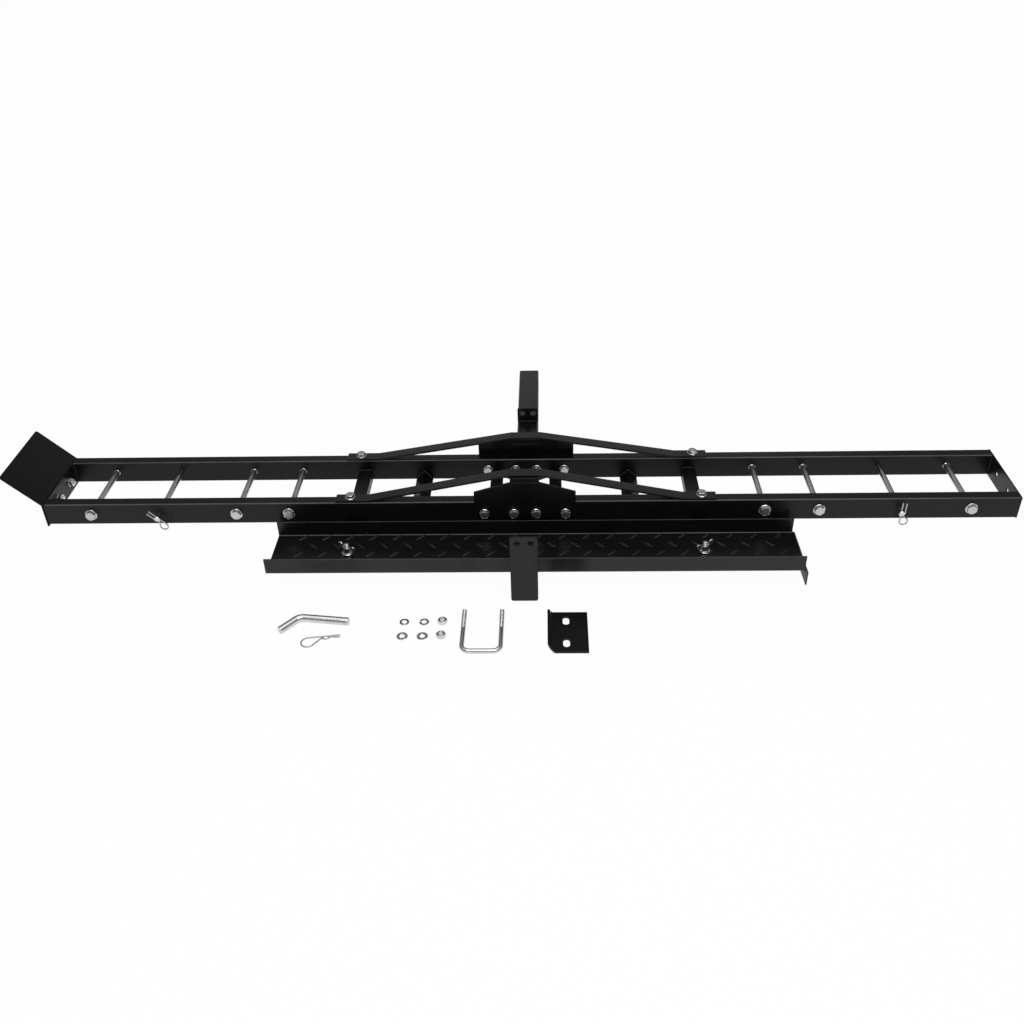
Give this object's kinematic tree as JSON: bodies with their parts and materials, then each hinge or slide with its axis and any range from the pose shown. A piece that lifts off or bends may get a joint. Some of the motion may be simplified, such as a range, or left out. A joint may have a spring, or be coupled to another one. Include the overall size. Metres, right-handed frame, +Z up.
{
  "type": "hitch motorcycle carrier",
  "caption": "Hitch-mounted carrier with a long wheel track of twin box rails, arched braces, a loading ramp and loose fitting hardware",
  "frame": {"origin": "centre of the hitch pin hole, on the axis of the hitch bar", "axes": "+X along the wheel track, +Y along the bar towards the vehicle, +Z up"},
  "size_m": [2.1028, 1.065, 0.1945],
  "materials": {
    "black_coat": "semi-gloss black powder coat",
    "zinc_plate": "bright zinc plate"
  },
  "bodies": {
    "frame": {"hitch_bar": "black_coat", "bar_upright": "black_coat", "bar_tab": "black_coat", "gusset_front": "black_coat", "gusset_rear": "black_coat", "rail_front_left": "black_coat", "rail_front_right": "black_coat", "rail_rear_left": "black_coat", "rail_rear_right": "black_coat", "end_plate_left": "black_coat", "end_plate_right": "black_coat", "stop_plate": "black_coat", "arch_front": "black_coat", "arch_rear": "black_coat", "arch_pads": "black_coat", "cross_tube_left": "black_coat", "cross_tube_right": "black_coat", "centre_tube_left": "black_coat", "centre_tube_right": "black_coat", "cross_angle_left": "black_coat", "cross_angle_right": "black_coat", "ramp_arm_left": "black_coat", "ramp_arm_right": "black_coat", "stop_bolts": "zinc_plate", "arch_bolts": "zinc_plate", "arch_nuts": "zinc_plate", "gusset_bolts": "zinc_plate", "gusset_nuts": "zinc_plate", "rod_1": "zinc_plate", "rod_2": "zinc_plate", "rod_3": "zinc_plate", "rod_4": "zinc_plate", "rod_5": "zinc_plate", "rod_6": "zinc_plate", "rod_washers": "zinc_plate", "rod_nuts": "zinc_plate"},
    "ramp": {"ramp": "black_coat", "wing_washers": "zinc_plate"},
    "wing_nut_left": {"wing_nut_left": "zinc_plate"},
    "wing_nut_right": {"wing_nut_right": "zinc_plate"},
    "strap_pin_left": {"strap_pin_left": "zinc_plate"},
    "strap_pin_right": {"strap_pin_right": "zinc_plate"},
    "strap_clip_left": {"strap_clip_left": "zinc_plate"},
    "strap_clip_right": {"strap_clip_right": "zinc_plate"},
    "hitch_pin": {"hitch_pin": "zinc_plate"},
    "hitch_clip": {"hitch_clip": "zinc_plate"},
    "u_bolt": {"u_bolt": "zinc_plate"},
    "clamp_plate": {"clamp_plate": "black_coat"},
    "small_hardware": {"flat_washers": "zinc_plate", "spring_washers": "zinc_plate", "loose_nuts": "zinc_plate"}
  },
  "joints": [
    {"name": "ramp_lift", "type": "slide", "parent": "frame", "child": "ramp", "axis": [0, 0, 1], "range_m": [0, 0.25]},
    {"name": "wing_nut_left_turn", "type": "hinge", "parent": "ramp", "child": "wing_nut_left", "pos_m": [-0.365, -0.752, 0.037], "axis": [0, 0, 1], "continuous": true},
    {"name": "strap_pin_left_turn", "type": "hinge", "parent": "frame", "child": "strap_pin_left", "pos_m": [-0.771, -0.576, 0.0734], "axis": [0, 1, 0], "continuous": true},
    {"name": "strap_clip_left_pull", "type": "slide", "parent": "strap_pin_left", "child": "strap_clip_left", "axis": [0.7071, 0, -0.7071], "range_m": [0, 0.03]},
    {"name": "wing_nut_right_turn", "type": "hinge", "parent": "ramp", "child": "wing_nut_right", "pos_m": [0.365, -0.752, 0.037], "axis": [0, 0, 1], "continuous": true},
    {"name": "strap_pin_right_turn", "type": "hinge", "parent": "frame", "child": "strap_pin_right", "pos_m": [0.771, -0.576, 0.0734], "axis": [0, 1, 0], "continuous": true},
    {"name": "strap_clip_right_pull", "type": "slide", "parent": "strap_pin_right", "child": "strap_clip_right", "axis": [0, 0, -1], "range_m": [0, 0.03]},
    {"name": "hitch_pin_lift", "type": "slide", "parent": "frame", "child": "hitch_pin", "axis": [0, 0, 1], "range_m": [0, 0.15]},
    {"name": "hitch_clip_lift", "type": "slide", "parent": "frame", "child": "hitch_clip", "axis": [0, 0, 1], "range_m": [0, 0.15]},
    {"name": "u_bolt_lift", "type": "slide", "parent": "frame", "child": "u_bolt", "axis": [0, 0, 1], "range_m": [0, 0.15]},
    {"name": "clamp_plate_lift", "type": "slide", "parent": "frame", "child": "clamp_plate", "axis": [0, 0, 1], "range_m": [0, 0.15]},
    {"name": "small_hardware_lift", "type": "slide", "parent": "frame", "child": "small_hardware", "axis": [0, 0, 1], "range_m": [0, 0.15]}
  ]
}
